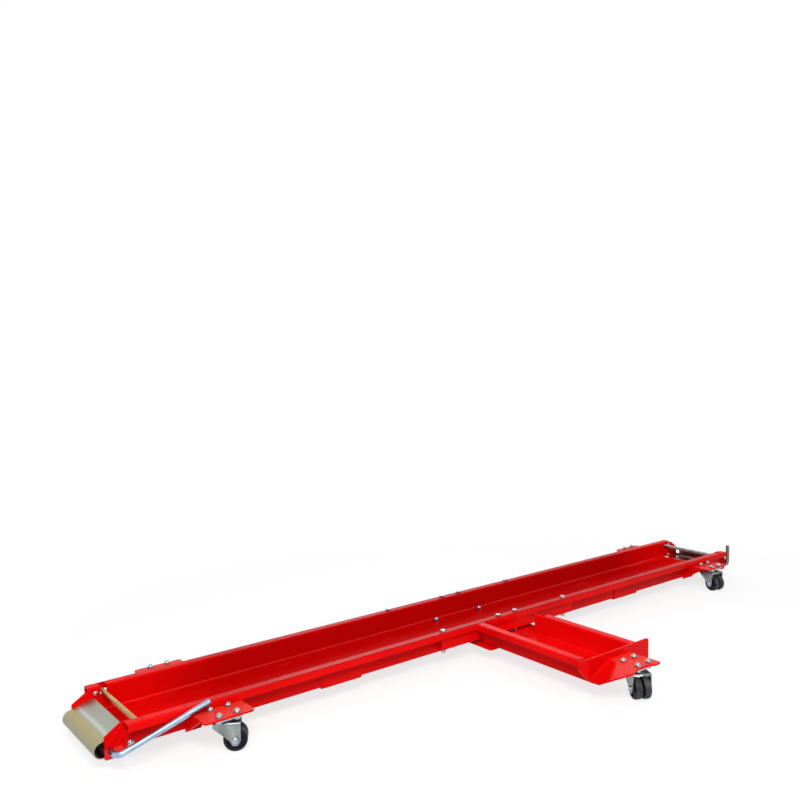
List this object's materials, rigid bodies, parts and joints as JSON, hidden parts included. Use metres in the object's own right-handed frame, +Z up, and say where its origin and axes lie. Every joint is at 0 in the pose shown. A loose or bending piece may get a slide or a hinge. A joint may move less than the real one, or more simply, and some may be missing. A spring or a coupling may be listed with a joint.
{
  "type": "motorcycle mover dolly",
  "caption": "Low wheeled steel track that carries a two-wheeler, with a side stand tray on an arm, tilting end ramps with a lever, lift-out lock rods and twin-wheel swivel casters.",
  "frame": {"origin": "on the ground under the middle of the whole dolly's outline", "axes": "+X along the track from the end with the long lever to the other end, +Z up, the side stand tray toward -Y"},
  "size_m": [2.234, 0.7607, 0.111],
  "materials": {
    "red_powder_coat": "gloss",
    "bright_zinc": "bright zinc plate",
    "passivated_zinc": "satin, passivated zinc",
    "yellow_zinc": "satin, yellow zinc",
    "caster_steel": "satin zinc",
    "black_wheel": "matte"
  },
  "bodies": {
    "frame": {"front_channel": "red_powder_coat", "rear_channel": "red_powder_coat", "front_strap": "red_powder_coat", "rear_strap": "red_powder_coat", "near_splice_rail": "red_powder_coat", "far_splice_rail": "red_powder_coat", "splice_bolts": "bright_zinc", "front_near_bracket": "red_powder_coat", "front_far_bracket": "red_powder_coat", "rear_near_bracket": "red_powder_coat", "rear_far_bracket": "red_powder_coat", "stand_tray": "red_powder_coat", "tray_end_cap": "red_powder_coat", "tray_bracket": "red_powder_coat", "tray_tongue": "red_powder_coat", "tray_bolts": "bright_zinc", "caster_bolts": "bright_zinc", "front_pivot_bolts": "bright_zinc", "rear_pivot_bolts": "bright_zinc", "front_near_caster_plate": "caster_steel", "front_far_caster_plate": "caster_steel", "rear_near_caster_plate": "caster_steel", "rear_far_caster_plate": "caster_steel", "tray_caster_plate": "caster_steel"},
    "front_ramp": {"front_ramp_near_plate": "red_powder_coat", "front_ramp_far_plate": "red_powder_coat", "front_ramp_flap": "passivated_zinc", "front_ramp_lever": "bright_zinc", "front_stop_bolts": "bright_zinc"},
    "front_rod": {"front_lock_rod": "yellow_zinc"},
    "rear_ramp": {"rear_ramp_near_plate": "red_powder_coat", "rear_ramp_far_plate": "red_powder_coat", "rear_ramp_flap": "passivated_zinc", "rear_ramp_lever": "bright_zinc", "rear_stop_bolts": "bright_zinc"},
    "rear_rod": {"rear_lock_rod": "yellow_zinc"},
    "front_near_caster": {"front_near_fork": "caster_steel", "front_near_axle": "caster_steel"},
    "front_near_inner_roll": {"front_near_wheel_inner": "black_wheel"},
    "front_near_outer_roll": {"front_near_wheel_outer": "black_wheel"},
    "front_far_caster": {"front_far_fork": "caster_steel", "front_far_axle": "caster_steel"},
    "front_far_inner_roll": {"front_far_wheel_inner": "black_wheel"},
    "front_far_outer_roll": {"front_far_wheel_outer": "black_wheel"},
    "rear_near_caster": {"rear_near_fork": "caster_steel", "rear_near_axle": "caster_steel"},
    "rear_near_inner_roll": {"rear_near_wheel_inner": "black_wheel"},
    "rear_near_outer_roll": {"rear_near_wheel_outer": "black_wheel"},
    "rear_far_caster": {"rear_far_fork": "caster_steel", "rear_far_axle": "caster_steel"},
    "rear_far_inner_roll": {"rear_far_wheel_inner": "black_wheel"},
    "rear_far_outer_roll": {"rear_far_wheel_outer": "black_wheel"},
    "tray_caster": {"tray_fork": "caster_steel", "tray_axle": "caster_steel"},
    "tray_inner_roll": {"tray_wheel_inner": "black_wheel"},
    "tray_outer_roll": {"tray_wheel_outer": "black_wheel"}
  },
  "joints": [
    {"name": "front_ramp_tilt", "type": "hinge", "parent": "frame", "child": "front_ramp", "pos_m": [-1.048, 0.1968, 0.048], "axis": [0, -1, 0], "range_deg": [0, 31]},
    {"name": "front_rod_lift", "type": "hinge", "parent": "frame", "child": "front_rod", "pos_m": [-1.0285, 0.0888, 0.081], "axis": [1, 0, 0], "range_deg": [0, 15]},
    {"name": "rear_ramp_tilt", "type": "hinge", "parent": "frame", "child": "rear_ramp", "pos_m": [1.048, 0.1968, 0.048], "axis": [0, 1, 0], "range_deg": [0, 31]},
    {"name": "rear_rod_lift", "type": "hinge", "parent": "frame", "child": "rear_rod", "pos_m": [1.0285, 0.3048, 0.081], "axis": [-1, 0, 0], "range_deg": [0, 15]},
    {"name": "front_near_swivel", "type": "hinge", "parent": "frame", "child": "front_near_caster", "pos_m": [-0.872, 0.0428, 0.06], "axis": [0, 0, 1], "continuous": true},
    {"name": "front_near_inner_spin", "type": "hinge", "parent": "front_near_caster", "child": "front_near_inner_roll", "pos_m": [-0.85143, 0.03044, 0.025], "axis": [0.515, 0.8572, 0], "continuous": true},
    {"name": "front_near_outer_spin", "type": "hinge", "parent": "front_near_caster", "child": "front_near_outer_roll", "pos_m": [-0.85143, 0.03044, 0.025], "axis": [0.515, 0.8572, 0], "continuous": true},
    {"name": "front_far_swivel", "type": "hinge", "parent": "frame", "child": "front_far_caster", "pos_m": [-0.872, 0.3508, 0.06], "axis": [0, 0, 1], "continuous": true},
    {"name": "front_far_inner_spin", "type": "hinge", "parent": "front_far_caster", "child": "front_far_inner_roll", "pos_m": [-0.84945, 0.34259, 0.025], "axis": [0.342, 0.9397, 0], "continuous": true},
    {"name": "front_far_outer_spin", "type": "hinge", "parent": "front_far_caster", "child": "front_far_outer_roll", "pos_m": [-0.84945, 0.34259, 0.025], "axis": [0.342, 0.9397, 0], "continuous": true},
    {"name": "rear_near_swivel", "type": "hinge", "parent": "frame", "child": "rear_near_caster", "pos_m": [0.912, 0.0428, 0.06], "axis": [0, 0, 1], "continuous": true},
    {"name": "rear_near_inner_spin", "type": "hinge", "parent": "rear_near_caster", "child": "rear_near_inner_roll", "pos_m": [0.90619, 0.01951, 0.025], "axis": [0.9703, -0.2419, 0], "continuous": true},
    {"name": "rear_near_outer_spin", "type": "hinge", "parent": "rear_near_caster", "child": "rear_near_outer_roll", "pos_m": [0.90619, 0.01951, 0.025], "axis": [0.9703, -0.2419, 0], "continuous": true},
    {"name": "rear_far_swivel", "type": "hinge", "parent": "frame", "child": "rear_far_caster", "pos_m": [0.912, 0.3508, 0.06], "axis": [0, 0, 1], "continuous": true},
    {"name": "rear_far_inner_spin", "type": "hinge", "parent": "rear_far_caster", "child": "rear_far_inner_roll", "pos_m": [0.88945, 0.34259, 0.025], "axis": [0.342, -0.9397, 0], "continuous": true},
    {"name": "rear_far_outer_spin", "type": "hinge", "parent": "rear_far_caster", "child": "rear_far_outer_roll", "pos_m": [0.88945, 0.34259, 0.025], "axis": [0.342, -0.9397, 0], "continuous": true},
    {"name": "tray_swivel", "type": "hinge", "parent": "frame", "child": "tray_caster", "pos_m": [-0.004, -0.3292, 0.06], "axis": [0, 0, 1], "continuous": true},
    {"name": "tray_inner_spin", "type": "hinge", "parent": "tray_caster", "child": "tray_inner_roll", "pos_m": [-0.016, -0.34998, 0.025], "axis": [0.866, -0.5, 0], "continuous": true},
    {"name": "tray_outer_spin", "type": "hinge", "parent": "tray_caster", "child": "tray_outer_roll", "pos_m": [-0.016, -0.34998, 0.025], "axis": [0.866, -0.5, 0], "continuous": true}
  ]
}
